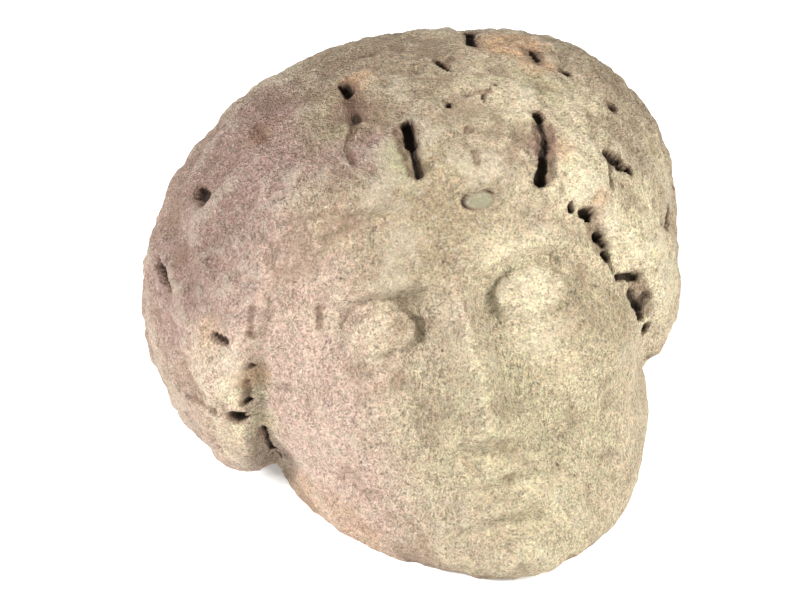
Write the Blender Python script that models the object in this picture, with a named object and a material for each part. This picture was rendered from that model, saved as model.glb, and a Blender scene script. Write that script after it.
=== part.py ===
"""Weathered sandstone head of a woman with a melon-cut hair style, broken off under the chin.

The stone rests on its break, tipped back and leaning. It is carved in its own upright frame, in parts
of the head's height, then set down on the floor plane z = 0 with the break's middle at the origin.
"""

import math

import bmesh
import bpy
import numpy as np
from mathutils import Matrix, Vector

# Driving sizes, in metres.
HEAD_HEIGHT = 0.190  # chin to crown of the skull, under the hair
DRILL_RADIUS = 0.0022  # the bit of the running drill
DRILL_DEPTH = 0.0070  # how deep the drill goes in
DRILL_START = 0.0040  # the cut starts this far outside the stone

# How the stone lies on its break, in degrees.
TIP_BACK = 23.0  # the face looks up by this much
LEAN = 15.0  # the crown leans to the viewer's left
TURN = 6.0  # the face turns to the viewer's right

# Carving, in parts: 200 parts to the head's height. The upright frame has x to the viewer's right,
# y to the back and z up, with its origin in the middle of the skull at the height of the eyes.
PARTS_HIGH = 200.0
PART = HEAD_HEIGHT / PARTS_HIGH
BREAK_DROP = 58.0  # from the skull's middle down to the plane of the break
BREAK_MIDDLE = (10.0, -22.0)  # the break's middle, beside the skull's middle, in the resting pose
BREAK_ROUNDING = 5.0  # worn rim of the break
BREAK_SPARE = 4.0  # the stone is carved this far past the break, which then cuts it

CHIN = -PARTS_HIGH / 2
UNIT = PARTS_HIGH / 3.5  # canon: half a unit of crown, then brow, nose and chin a unit apart
BROW = CHIN + 2 * UNIT
NOSE_BASE = CHIN + UNIT
MOUTH = NOSE_BASE - UNIT / 3
EYE_APART = 27.0  # from the middle to each eye
EYE_HALF = 13.5  # half an eye's length

OPENING_MIDDLE = (-4.0, -26.0)  # x and z of the middle of the round opening that the hair leaves
OPENING_RADIUS = 71.0
HAIR_END = -44.0  # the side hair stops at the height of the ear lobes
LOCK_CENTRE = -60.0  # the grooves fan out from this height, seen from the front
LOCK_ANGLE = 12.2  # degrees between neighbouring grooves
ROLL_HEIGHT = 2.4  # the hair is this much fuller beside the face
GROOVE_DEPTH = 1.5
HAIRLINE_DEPTH = 2.4  # crease between the cheeks and the side hair
SIDE_LOCK_HEIGHTS = (2.0, -15.0, -32.0)
SIDE_LOCK_OUT = 90.0  # from the middle to the rounded ends of the side locks
SIDE_LOCK_HEIGHT = 2.4
NOSE_LEFT = 14.5  # what is left of the nose's height
FACE_HALF = 72.0  # half the width at the cheekbones, a little over two and a half eyes
CHEEKBONE = -18.0
OVAL_POWER = 2.5  # 2 would be an ellipse, more is a fuller jaw
BLOCK_POWER = 2.3  # the same for the block's level sections: a little squarer than an ellipse
NECK_HALF = 66.0

DRILL_ASLANT = 0.6  # the drill is held this share of the way round from straight ahead
# Where the drill went in: bearing and height in degrees, seen from the skull's middle, with bearing 0
# ahead and 90 to the viewer's right; then the same for the far end of a channel, and the width as a
# share of the bit.
DRILL_HOLES = (
    (-16, 57, 1.1),
    (-12, 46, 1.0),
    (21, 55, 1.0),
    (13, 42, 0.8),
    (-59, 35, 1.4),
    (-70, 21, 1.2),
    (-48, 6, 0.8),
    (-53, -10, 1.1),
    (53, 49, 1.0),
    (54, 41, 0.8),
    (31, 16, 0.7),
    (34, 12, 1.35),
    (37, 7, 0.95),
    (38, 2, 0.95),
    (50, -17, 1.2),
    (57, 6, 0.8),
)
DRILL_CHANNELS = (
    (0, 40, 0, 30, 1.0),
    (31, 33, 26, 23, 1.0),
    (42, 21, 47, 17, 0.9),
    (39, -3, 44, -3, 1.2),
    (42, -6, 45, -11, 1.1),
    (-56, -14, -62, -20, 0.9),
    (-47, 1, -50, -5, 0.7),
    (47, 64, 50, 59, 1.0),
)

GRID_CELLS = 26  # cells along each side of the six square patches that wrap the stone
PULL_FORWARD = 0.8  # crowds the grid towards the face
CROWD_HEIGHT = -18.0  # height of the place it is crowded towards, in degrees
CAST_STEPS = 70
RELAX_STEPS = 5
BIT_SIDES = 10
SHARP_ANGLE = 62.0  # degrees

PART_NAME = "sandstone_head"
STONE_COLOUR = (0.52, 0.43, 0.33, 1.0)
STONE_ROUGHNESS = 0.95


def smooth_step(low, high, value):
    """0 below low, 1 above high and an S between them. low may be the larger of the two."""
    share = np.clip((value - low) / (high - low), 0, 1)
    return share * share * (3 - 2 * share)


def bump(offset, spread):
    """A bell of height 1."""
    return np.exp(-((offset / spread) ** 2))


def mound(x, z, place, spread):
    """A bell of height 1 over the front view."""
    return bump(x - place[0], spread[0]) * bump(z - place[1], spread[1])


def smooth_curve(at, places, values):
    """A curve through the given values, with the slope at each taken from its neighbours."""
    places = np.asarray(places, float)
    values = np.asarray(values, float)
    slopes = np.gradient(values, places)
    left = np.clip(np.searchsorted(places, at) - 1, 0, len(places) - 2)
    span = places[left + 1] - places[left]
    t = np.clip((at - places[left]) / span, 0, 1)
    rise = t * t * (3 - 2 * t)
    start = t * (1 - t) ** 2 * span * slopes[left]
    end = t * t * (t - 1) * span * slopes[left + 1]
    return values[left] * (1 - rise) + values[left + 1] * rise + start + end


def joined(a, b, softness):
    """Distance to either of two shapes, with the seam between them filled softly."""
    share = np.clip(0.5 + 0.5 * (b - a) / softness, 0, 1)
    return b + (a - b) * share - softness * share * (1 - share)


def shared(a, b, softness):
    """Distance to what two shapes have in common, with the edge between them rounded."""
    return -joined(-a, -b, softness)


def ellipsoid(x, y, z, centre, reach):
    """Distance to an ellipsoid, true at its surface."""
    u = (x - centre[0]) / reach[0], (y - centre[1]) / reach[1], (z - centre[2]) / reach[2]
    size = np.sqrt(u[0] ** 2 + u[1] ** 2 + u[2] ** 2)
    slope = np.sqrt((u[0] / reach[0]) ** 2 + (u[1] / reach[1]) ** 2 + (u[2] / reach[2]) ** 2)
    return size * (size - 1) / slope


def unevenness(x, y, z):
    """Slow swells of the boulder, as a few crossed waves."""
    return (
        np.sin(x / 23 + 1.3) * np.sin(y / 29 + 0.4) * np.sin(z / 26 + 2.1)
        + 0.5 * np.sin(x / 12 + z / 31 + 0.7) * np.sin(z / 13 - y / 17 + 1.9)
    )


def from_opening(x, z):
    """How far outside the hairline a place lies, seen from the front; less than 0 is on the face."""
    return np.hypot(x - OPENING_MIDDLE[0], z - OPENING_MIDDLE[1]) - OPENING_RADIUS


def groove_pattern(x, z):
    """1 in the middle of a groove between two locks, fanned over the front view and worn away in places."""
    angle = np.degrees(np.arctan2(x, z - LOCK_CENTRE)) + 2.0 * np.sin(z / 21 + x / 40)
    across = np.abs((angle / LOCK_ANGLE + 0.5) % 1 - 0.5) * LOCK_ANGLE
    kept = 0.55 + 0.45 * np.sin(angle / 9 + 0.6) * np.sin(z / 19 + angle / 23)
    return bump(across, 2.6) * kept


def side_locks(x, z):
    """The rounded ends of the locks beside the cheeks, larger on the viewer's left."""
    locks = np.zeros_like(x)
    for height in SIDE_LOCK_HEIGHTS:
        locks += mound(x, z, (-SIDE_LOCK_OUT, height), (8, 6.5))
        locks += 0.5 * mound(x, z, (SIDE_LOCK_OUT - 3, height), (6, 6.5))
    return locks


def hair(x, y, z):
    """The hair: a full mass with a fuller lower left and upper right, a roll by the face, and grooves."""
    mass = ellipsoid(x, y, z, (-3, 3, 13), (101, 101, 91))
    mass = joined(mass, ellipsoid(x, y, z, (-48, 4, 10), (59, 78, 66)), 14)
    mass = joined(mass, ellipsoid(x, y, z, (44, 4, 35), (59, 78, 56)), 14)
    front = smooth_step(15, -35, y)
    beside = smooth_step(30, 62, np.abs(x))
    mass -= ROLL_HEIGHT * bump(from_opening(x, z) - 14, 12) * front * (0.4 + 0.6 * beside)
    mass += GROOVE_DEPTH * (0.35 + 0.65 * front) * groove_pattern(x, z) * smooth_step(-10, 20, z)
    mass -= SIDE_LOCK_HEIGHT * side_locks(x, z) * smooth_step(5, -15, y)
    return shared(mass, HAIR_END - z, 8)


def eye_relief(side, z):
    """One eye: a hollow under the brow, the ball, and a worn lid above and below it."""
    off = side - EYE_APART
    relief = -5.2 * mound(side, z, (EYE_APART, 3), (21, 11)) - 4.2 * mound(side, z, (11, 1), (7, 9))
    relief += 4.9 * np.exp(-(((off / 13) ** 2 + ((z - 0.5) / 7.4) ** 2) ** 1.6))
    along = np.clip(1 - (off / EYE_HALF) ** 2, 0, 1)
    on_eye = smooth_step(0, 0.35, along)
    relief += 1.4 * bump(z - 1 - 5.8 * along, 3.2) * on_eye
    relief -= 1.1 * bump(z - 6.4 - 6.0 * along, 3.4) * on_eye
    return relief + 1.2 * bump(z + 4.8 * along, 2.8) * on_eye


def nose_relief(side, z):
    """The nose, worn flat along its ridge and lost at its tip, with the wings left."""
    height = smooth_curve(z, (-58, -49, -44, -37, -24, -8, 6, 18), (0, 1.5, 8, 15, 14, 10, 4.5, 0))
    width = smooth_curve(z, (-50, -38, -22, -6, 10), (11.5, 11.5, 9.0, 7.2, 8.5))
    ridge = joined(height, NOSE_LEFT, 5) * bump(side, width)
    return ridge + 3.6 * mound(side, z, (11, NOSE_BASE + 4), (4.8, 5.4))


def mouth_relief(side, z):
    """Closed worn lips with a bowed upper edge, their parting line, the corners and the hollow below."""
    relief = 2.8 * bump(side, 25) * bump(z - MOUTH, 14)
    parting = MOUTH - 0.8 * bump(side, 6) + 0.8 * bump(side - 13, 6)
    relief -= 2.2 * bump(z - parting, 3.6) * smooth_step(24, 12, side)
    relief += 1.7 * bump(z - MOUTH - 6.0 + 0.08 * side, 4.4) * bump(side, 14)
    relief += 2.1 * bump(z - MOUTH + 6.6, 5.0) * bump(side, 12.5)
    relief -= 1.8 * mound(side, z, (21, MOUTH), (5, 5))
    relief -= 1.0 * mound(side, z, (0, MOUTH + 13), (3.2, 5))
    return relief - 2.4 * mound(side, z, (0, MOUTH - 15), (16, 5.2))


def face_relief(x, z):
    """How far the carving of the face stands out from the block, over the front view."""
    side = np.abs(x)
    brow_line = BROW + 3.0 * (1 - ((side - 27) / 27) ** 2)
    relief = 3.4 * bump(z - brow_line, 5.0) * smooth_step(0, 12, side) * smooth_step(58, 34, side)
    relief += 2.0 * mound(side, z, (0, BROW - 2), (10, 9))
    relief += eye_relief(side, z) + nose_relief(side, z) + mouth_relief(side, z)
    relief += 5.5 * mound(side, z, (0, CHIN + 13), (16, 11))
    relief += 3.0 * mound(side, z, (38, -26), (16, 15))
    relief -= 1.5 * bump(side - 17 - 0.5 * (NOSE_BASE - z), 5) * bump(z - MOUTH - 10, 11)
    relief -= 1.8 * mound(side, z, (34, MOUTH - 2), (10, 14))
    return relief


def face_oval(z):
    """Half the face's width at each height: a full egg, widest at the cheekbones."""
    share = np.clip((z - CHEEKBONE) / (CHIN - 7 - CHEEKBONE), 0, 1)
    return FACE_HALF * (1 - share**OVAL_POWER) ** (1 / OVAL_POWER)


def face_block(x, y, z):
    """The block under the face and hair: upright levels, each a rounded oval, with the face in relief."""
    levels = (-103, -95, -85, -70, -40, -20, 0, 30, 60, 90)
    skull = smooth_curve(z, (-70, -55, -40, -20, 0, 30, 60, 90), (30, 50, 71, 87, 96, 94, 75, 42))
    half_width = np.maximum(-joined(-face_oval(z), -skull, 8), 12)
    half_depth = smooth_curve(z, levels, (60, 75, 82, 85, 86.5, 87, 88, 88, 80, 50))
    across = (np.abs(x) / half_width) ** BLOCK_POWER
    share = (across + (np.abs(y) / half_depth) ** BLOCK_POWER) ** (1 / BLOCK_POWER)
    block = (share - 1) * np.minimum(half_width, half_depth)
    block = shared(shared(block, CHIN - 7 - z, 12), z - 84, 12)
    block -= face_relief(x, z) * smooth_step(-22, -44, y)
    return joined(block, neck(x, y, z), 16)


def neck(x, y, z):
    """The root of the neck: an upright oval column under the skull."""
    column = (np.hypot((x + 7) / NECK_HALF, (y - 8) / 68) - 1) * NECK_HALF
    return shared(column, z, 20)


def stone(x, y, z):
    """Distance to the whole stone above the break, in the upright frame and in parts."""
    face = face_block(x, y, z)
    outside = from_opening(x, z)
    on_hair = np.maximum(smooth_step(-7, 8, outside), smooth_step(-16, 0, y))
    on_hair = on_hair * smooth_step(HAIR_END - 9, HAIR_END - 1, z)
    covered = joined(face, hair(x, y, z), 3)
    whole = face + (covered - face) * on_hair
    crease = bump(outside - 1, 6) * smooth_step(28, 62, np.abs(x)) * smooth_step(0, -30, y)
    whole += HAIRLINE_DEPTH * crease * smooth_step(HAIR_END - 4, HAIR_END + 8, z)
    whole -= 0.9 * unevenness(x, y, z)
    break_normal = resting_turn().transposed() @ Vector((0, 0, 1))
    above_break = x * break_normal.x + y * break_normal.y + z * break_normal.z + BREAK_DROP
    return shared(whole, -BREAK_SPARE - above_break, 2 * BREAK_SPARE + BREAK_ROUNDING)


def resting_turn():
    """Turns the upright frame into the pose in which the stone lies on its break."""
    tip = Matrix.Rotation(math.radians(-TIP_BACK), 3, "X")
    lean = Matrix.Rotation(math.radians(-LEAN), 3, "Y")
    turn = Matrix.Rotation(math.radians(TURN), 3, "Z")
    return tip @ lean @ turn


def set_down(points):
    """Points of the upright frame, in parts, as places in metres with the break on z = 0."""
    turned = points @ np.array(resting_turn()).T
    offset = np.array((-BREAK_MIDDLE[0], -BREAK_MIDDLE[1], BREAK_DROP))
    return (turned + offset) * PART


def direction_of(bearing, height):
    """The unit direction that has this bearing and height, in degrees."""
    bearing = math.radians(bearing)
    height = math.radians(height)
    level = math.cos(height)
    return math.sin(bearing) * level, -math.cos(bearing) * level, math.sin(height)


def crowded_forward(directions, pull):
    """Unit directions moved smoothly towards the face, which keeps small squares square."""
    towards = np.array(direction_of(0, CROWD_HEIGHT))
    ahead = directions @ towards
    across = directions - ahead[:, None] * towards
    moved = across * math.sqrt(1 - pull * pull) + (ahead + pull)[:, None] * towards
    return moved / (1 + pull * ahead)[:, None]


def cast_to_surface(directions):
    """Where rays from the skull's middle leave the stone, found by stepping inwards from outside."""
    reach = np.full(len(directions), 150.0)
    for _ in range(CAST_STEPS):
        points = directions * reach[:, None]
        reach -= np.clip(0.6 * stone(*points.T), -4, 6)
    return directions * reach[:, None]


def slopes_at(points):
    """How the distance to the stone changes along each axis."""
    step = 0.5
    slopes = np.zeros_like(points)
    for axis in range(3):
        offset = np.zeros(3)
        offset[axis] = step
        slopes[:, axis] = stone(*(points + offset).T) - stone(*(points - offset).T)
    return slopes / (2 * step)


def relaxed(points, ends):
    """The points evened out over the stone: each is drawn halfway to the mean of its neighbours, then
    put back on the surface, a few times. ends gives both ends of every edge."""
    ends = np.concatenate((ends, ends[:, ::-1]))
    count = np.bincount(ends[:, 0])
    for _ in range(RELAX_STEPS):
        mean = [np.bincount(ends[:, 0], values) / count for values in points[ends[:, 1]].T]
        points = (points + np.stack(mean, axis=-1)) / 2
        slopes = slopes_at(points)
        points -= slopes * (stone(*points.T) / np.sum(slopes**2, axis=1))[:, None]
    return points


def stone_mesh(cells):
    """A cube cut into square patches, rounded to a sphere and carved out to the stone's surface."""
    bm = bmesh.new()
    bmesh.ops.create_cube(bm, size=2)
    bmesh.ops.subdivide_edges(bm, edges=bm.edges[:], cuts=cells - 1, use_grid_fill=True)
    evened = np.tan(np.array([vertex.co for vertex in bm.verts]) * math.pi / 4)
    directions = evened / np.linalg.norm(evened, axis=1, keepdims=True)
    bm.verts.index_update()
    ends = np.array([[vertex.index for vertex in edge.verts] for edge in bm.edges])
    points = relaxed(cast_to_surface(crowded_forward(directions, PULL_FORWARD)), ends)
    for vertex, place in zip(bm.verts, set_down(points)):
        vertex.co = place
    bmesh.ops.triangulate(bm, faces=bm.faces[:], quad_method="SHORT_EDGE")
    everything = bm.verts[:] + bm.edges[:] + bm.faces[:]
    floor_plane = {"plane_co": (0, 0, 0), "plane_no": (0, 0, 1)}
    cut = bmesh.ops.bisect_plane(bm, geom=everything, clear_inner=True, **floor_plane)
    rim = [item for item in cut["geom_cut"] if isinstance(item, bmesh.types.BMEdge)]
    bmesh.ops.contextual_create(bm, geom=rim)
    for vertex in {vertex for edge in rim for vertex in edge.verts}:
        vertex.co.z = 0
    bmesh.ops.recalc_face_normals(bm, faces=bm.faces[:])
    mesh = bpy.data.meshes.new(PART_NAME)
    bm.to_mesh(mesh)
    bm.free()
    return mesh


def drill_cutter(ends, width):
    """What the drill takes out: a round shaft with a blunt tip, drawn out from one end to the other."""
    radius = DRILL_RADIUS * width
    middle = Vector(set_down(np.zeros((1, 3)))[0])
    entries = set_down(cast_to_surface(np.array([direction_of(*end) for end in ends])))
    held = [direction_of(bearing * DRILL_ASLANT, height * DRILL_ASLANT) for bearing, height in ends]
    outer = set_down(np.array(held))
    bm = bmesh.new()
    for entry, out in zip(entries, outer):
        inward = (middle - Vector(out)).normalized()
        turn = inward.to_track_quat("Z", "Y").to_matrix()
        for depth, share in ((-DRILL_START, 1.1), (0.7 * DRILL_DEPTH, 0.9), (DRILL_DEPTH, 0.5)):
            for step in range(BIT_SIDES):
                angle = 2 * math.pi * step / BIT_SIDES
                spoke = Vector((math.cos(angle), math.sin(angle), 0)) * radius * share
                bm.verts.new(Vector(entry) + turn @ (spoke + Vector((0, 0, depth))))
    hull = bmesh.ops.convex_hull(bm, input=bm.verts[:])
    inside = [item for item in hull["geom_interior"] if isinstance(item, bmesh.types.BMVert)]
    bmesh.ops.delete(bm, geom=inside, context="VERTS")
    bmesh.ops.recalc_face_normals(bm, faces=bm.faces[:])
    mesh = bpy.data.meshes.new("drill_cutter")
    bm.to_mesh(mesh)
    bm.free()
    return mesh


def cut_with(stone_object, cutter_mesh):
    """Takes the cutter's shape out of the stone; the cutter itself isn't part of the object."""
    cutter = bpy.data.objects.new("drill_cutter", cutter_mesh)
    cutter.hide_render = True
    cutter.display_type = "WIRE"
    bpy.context.scene.collection.objects.link(cutter)
    modifier = stone_object.modifiers.new("drilled", "BOOLEAN")
    modifier.operation = "DIFFERENCE"
    modifier.solver = "EXACT"
    modifier.object = cutter


def stone_material():
    material = bpy.data.materials.new("sandstone")
    material.use_nodes = True
    shader = material.node_tree.nodes["Principled BSDF"]
    shader.inputs["Base Color"].default_value = STONE_COLOUR
    shader.inputs["Roughness"].default_value = STONE_ROUGHNESS
    shader.inputs["Metallic"].default_value = 0.0
    return material


def main():
    for obj in list(bpy.data.objects):
        bpy.data.objects.remove(obj)
    mesh = stone_mesh(GRID_CELLS)
    mesh.materials.append(stone_material())
    mesh.shade_smooth()
    mesh.set_sharp_from_angle(angle=math.radians(SHARP_ANGLE))
    head = bpy.data.objects.new(PART_NAME, mesh)
    bpy.context.scene.collection.objects.link(head)
    for bearing, height, width in DRILL_HOLES:
        cut_with(head, drill_cutter([(bearing, height)], width))
    for bearing, height, end_bearing, end_height, width in DRILL_CHANNELS:
        cut_with(head, drill_cutter([(bearing, height), (end_bearing, end_height)], width))


main()
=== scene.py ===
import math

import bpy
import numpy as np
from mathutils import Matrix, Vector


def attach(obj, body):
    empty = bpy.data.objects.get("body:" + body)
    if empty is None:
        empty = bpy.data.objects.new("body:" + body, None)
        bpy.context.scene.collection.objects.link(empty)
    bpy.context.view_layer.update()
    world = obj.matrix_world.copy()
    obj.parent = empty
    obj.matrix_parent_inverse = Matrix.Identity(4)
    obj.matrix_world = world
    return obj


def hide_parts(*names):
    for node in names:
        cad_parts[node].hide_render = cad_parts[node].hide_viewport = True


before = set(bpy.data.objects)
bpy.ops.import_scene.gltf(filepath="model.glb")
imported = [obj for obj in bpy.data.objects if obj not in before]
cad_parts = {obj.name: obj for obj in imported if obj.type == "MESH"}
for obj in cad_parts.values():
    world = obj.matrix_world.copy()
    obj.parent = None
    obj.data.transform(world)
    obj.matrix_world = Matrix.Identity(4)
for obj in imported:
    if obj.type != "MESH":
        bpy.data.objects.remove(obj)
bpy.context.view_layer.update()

# A woman's head in weathered sandstone, broken off under the chin and lying tipped back on its break.
# The whole stone is one surface: rays go out from the skull's middle over a grid, and each stops where
# it leaves the carved form. Wear, drill marks, grain and the broken underside are worked into the same
# surface, and the stone's colours follow values kept at its corners.

NODE = "sandstone_head"

# Driving sizes of the stone, in metres and degrees, as the solid has them.
HEAD_HEIGHT = 0.190
TIP_BACK = 23.0
LEAN = 15.0
TURN = 6.0

# Carving, in parts: 200 to the head's height. x to the viewer's right, y to the back, z up, from the
# middle of the skull at the height of the eyes.
PARTS_HIGH = 200.0
PART = HEAD_HEIGHT / PARTS_HIGH
MM = 0.001
MILLIMETRE = MM / PART  # in parts
BREAK_DROP = 58.0
BREAK_MIDDLE = (10.0, -22.0)
BREAK_ROUNDING = 5.0
BREAK_SPARE = 4.0

CHIN = -PARTS_HIGH / 2
UNIT = PARTS_HIGH / 3.5
BROW = CHIN + 2 * UNIT
NOSE_BASE = CHIN + UNIT
MOUTH = NOSE_BASE - UNIT / 3
EYE_APART = 27.0
EYE_HALF = 13.5

OPENING_MIDDLE = (-4.0, -26.0)
OPENING_RADIUS = 71.0
HAIR_END = -44.0
LOCK_CENTRE = -60.0
LOCK_ANGLE = 12.2
ROLL_HEIGHT = 2.4
GROOVE_DEPTH = 1.5
HAIRLINE_DEPTH = 2.4
SIDE_LOCK_HEIGHTS = (2.0, -15.0, -32.0)
SIDE_LOCK_OUT = 90.0
SIDE_LOCK_HEIGHT = 2.4
NOSE_LEFT = 14.5
FACE_HALF = 72.0
CHEEKBONE = -18.0
OVAL_POWER = 2.5
BLOCK_POWER = 2.3
NECK_HALF = 66.0

# The surface's grid: cells along each side of a face, how strongly and at what height in degrees they
# crowd, and how many steps the rays and the evening out take. Lengths are in parts.
GRID_CELLS = 128
PULL_FORWARD = 0.6
CROWD_HEIGHT = 8.0
CAST_STEPS = 70
RELAX_STEPS = 8
SLOPE_STEP = 0.5
RAY_START = 150.0

# Drill marks: where each starts and ends, as bearing and height in degrees from the skull's middle
# (bearing 0 ahead, 90 to the viewer's right), then its half-width and depth in millimetres.
DRILL_MARKS = (
    # The channel above the middle of the forehead.
    ((0.0, 40.3), (-0.3, 35.5), 2.3, 5.8),
    ((-0.3, 35.5), (-0.6, 29.8), 1.8, 2.6),
    # The lock to its left: two deep pits and a worn channel below them.
    ((-15.8, 57.3), (-14.3, 54.6), 2.1, 4.8),
    ((-14.5, 55.0), (-12.5, 45.5), 1.9, 1.8),
    ((-12.6, 47.6), (-12.5, 46.2), 1.9, 2.6),
    ((-12.5, 45.0), (-15.5, 39.0), 1.8, 1.2),
    ((-15.5, 39.0), (-14.5, 35.0), 1.5, 1.3),
    ((-6.0, 68.5), (-2.0, 68.0), 1.9, 3.4),
    # The lock to its right: a slot, two pits and a faint line.
    ((20.8, 57.0), (20.8, 53.6), 1.8, 2.6),
    ((20.5, 55.5), (27.5, 57.5), 1.3, 1.0),
    ((12.9, 43.0), (12.9, 43.0), 1.7, 3.2),
    ((13.9, 35.5), (13.9, 35.5), 1.7, 1.1),
    ((12.4, 30.5), (12.2, 28.5), 1.6, 0.8),
    ((29.4, 45.1), (29.4, 45.1), 0.7, 1.5),
    # The crown on the right.
    ((70.0, 66.0), (45.0, 60.5), 2.2, 3.6),
    ((56.5, 50.2), (51.5, 47.2), 1.8, 2.6),
    ((53.3, 41.5), (53.3, 41.5), 2.5, 4.4),
    ((55.4, 31.1), (55.4, 30.0), 1.7, 3.4),
    # The long channel on the right, deepest at its lower end.
    ((32.6, 34.6), (32.6, 33.8), 1.9, 3.4),
    ((32.4, 33.0), (31.0, 28.7), 1.5, 2.4),
    ((31.0, 29.0), (27.6, 25.6), 1.7, 3.0),
    ((27.4, 25.4), (24.8, 21.9), 2.1, 4.8),
    # The torn notch and the slots near the right edge.
    ((43.0, 22.0), (47.4, 18.0), 2.3, 5.2),
    ((43.0, 21.5), (39.8, 16.3), 1.5, 1.5),
    ((73.4, 13.2), (73.4, 11.3), 1.9, 4.0),
    ((61.0, 7.2), (59.2, 4.7), 2.0, 4.6),
    # The row of holes down the right hairline.
    ((30.5, 15.8), (30.7, 14.6), 1.2, 4.5),
    ((33.7, 13.0), (33.7, 13.0), 2.6, 5.2),
    ((36.8, 7.6), (36.8, 7.6), 2.0, 5.2),
    ((36.4, 7.7), (37.7, 5.6), 1.5, 2.6),
    ((37.5, 3.2), (37.9, 2.4), 1.7, 3.8),
    ((37.9, 4.8), (38.6, -0.5), 0.9, 1.4),
    ((39.4, -2.3), (40.4, -2.4), 1.8, 6.0),
    ((41.5, -2.6), (45.0, -3.3), 1.7, 3.4),
    ((43.5, -6.9), (46.4, -11.2), 2.5, 2.8),
    ((48.0, -7.6), (46.8, -11.0), 2.4, 2.2),
    ((46.0, -10.0), (47.0, -12.6), 2.2, 6.0),
    ((50.6, -16.3), (50.6, -16.3), 2.7, 7.0),
    # The left side: two torn pits, the chain down the hairline, and the gaps between the side locks.
    ((-63.0, 37.2), (-57.2, 34.8), 2.6, 5.6),
    ((-72.6, 22.9), (-68.6, 20.4), 2.4, 4.6),
    ((-69.0, 20.2), (-65.2, 17.4), 1.6, 2.0),
    ((-62.1, 24.1), (-62.1, 24.1), 5.0, 1.1),
    ((-47.5, 50.2), (-42.8, 47.2), 2.5, 1.3),
    ((-50.0, 7.4), (-48.4, 6.1), 1.5, 2.6),
    ((-41.2, 11.5), (-43.6, 6.5), 1.0, 1.1),
    ((-43.6, 6.5), (-43.6, 6.1), 1.1, 1.6),
    ((-47.1, 0.3), (-47.1, 0.1), 1.1, 2.4),
    ((-48.9, -2.2), (-50.9, -5.6), 1.3, 1.8),
    ((-51.3, -6.2), (-51.3, -6.2), 1.5, 3.4),
    ((-54.0, -8.9), (-54.0, -8.9), 3.0, 4.6),
    ((-55.6, -14.0), (-62.5, -22.0), 1.2, 4.0),
    ((-65.5, -25.0), (-66.0, -25.6), 1.2, 2.6),
    ((-67.4, -3.5), (-57.1, -6.5), 0.9, 1.1),
    ((-57.3, -6.4), (-57.1, -6.6), 1.6, 1.8),
    ((-66.5, -15.3), (-65.0, -15.6), 0.9, 2.4),
    # A chip on the temple.
    ((-29.2, 8.8), (-30.8, 5.2), 1.4, 0.8),
    # Wear round the mouths of the largest.
    ((-1.6, 39.5), (-1.2, 31.0), 3.8, 1.1),
    ((-13.5, 56.5), (-12.5, 46.0), 3.9, 1.1),
    ((32.0, 31.0), (27.0, 23.0), 3.9, 1.5),
    ((-59.5, 36.0), (-59.0, 35.0), 4.2, 1.0),
    ((56.0, 51.0), (50.0, 47.0), 3.6, 1.0),
    ((34.5, 12.0), (37.5, 5.0), 3.2, 0.9),
    ((45.0, -4.0), (48.0, -11.0), 4.0, 1.1),
    # A crack on the crown.
    ((19.5, 44.2), (26.0, 43.5), 1.0, 1.2),
    ((23.5, 43.5), (22.4, 41.3), 1.0, 1.2),
)

DRILL_ASLANT = 0.6  # the drill's own bearing and height, as a share of the mark's
# A drill mark's grime and painted shade darken with its depth.
DARK_DEPTH = 3.6  # a drill mark this many millimetres deep is at its darkest

# A pebble set in the stone over the forehead: its bearing and height, half sizes in parts and tilt, how
# far it stands out and how deep the gap round it is, in millimetres, and how dark the painted shade in the
# gap is.
PEBBLE_AT = (10.9, 22.3)
PEBBLE_HALF = (5.3, 2.7)
PEBBLE_TILT = -12.0
PEBBLE_HEIGHT = 0.3
PEBBLE_GAP = 0.6
GAP_DARK = 0.95

# Swells left by the carving and by flakes that came away: both ends, half-width in parts, height in
# millimetres.
RIDGES = (
    ((-54.0, 7.0), (-54.0, -2.0), 9.0, 1.7),
    ((-60.0, -14.0), (-60.0, -15.5), 8.0, 1.8),
    ((-34.0, 12.0), (-27.0, 20.0), 6.0, 1.1),
    ((-30.0, 22.0), (-17.5, 30.0), 5.0, 0.8),
    ((-17.5, 30.0), (-9.0, 26.5), 4.5, 0.9),
    ((16.0, 23.0), (27.0, 19.5), 4.5, 0.9),
    ((35.0, 20.0), (40.0, 15.0), 6.0, 1.2),
    ((44.0, 9.0), (48.0, 2.0), 7.0, 1.6),
    ((51.0, -6.0), (53.0, -12.0), 6.0, 1.4),
    ((34.6, 58.0), (44.8, 47.5), 3.0, 1.3),
    ((-8.0, 48.0), (-8.0, 34.0), 4.5, 0.7),
    ((6.5, 46.0), (6.5, 32.0), 4.5, 0.6),
    ((-43.0, 14.0), (-47.5, -4.0), 3.0, -1.0),
    ((-66.0, 31.0), (-58.0, 18.0), 7.0, -1.0),
    ((22.0, 46.0), (21.0, 30.0), 6.0, 0.7),
)
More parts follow.
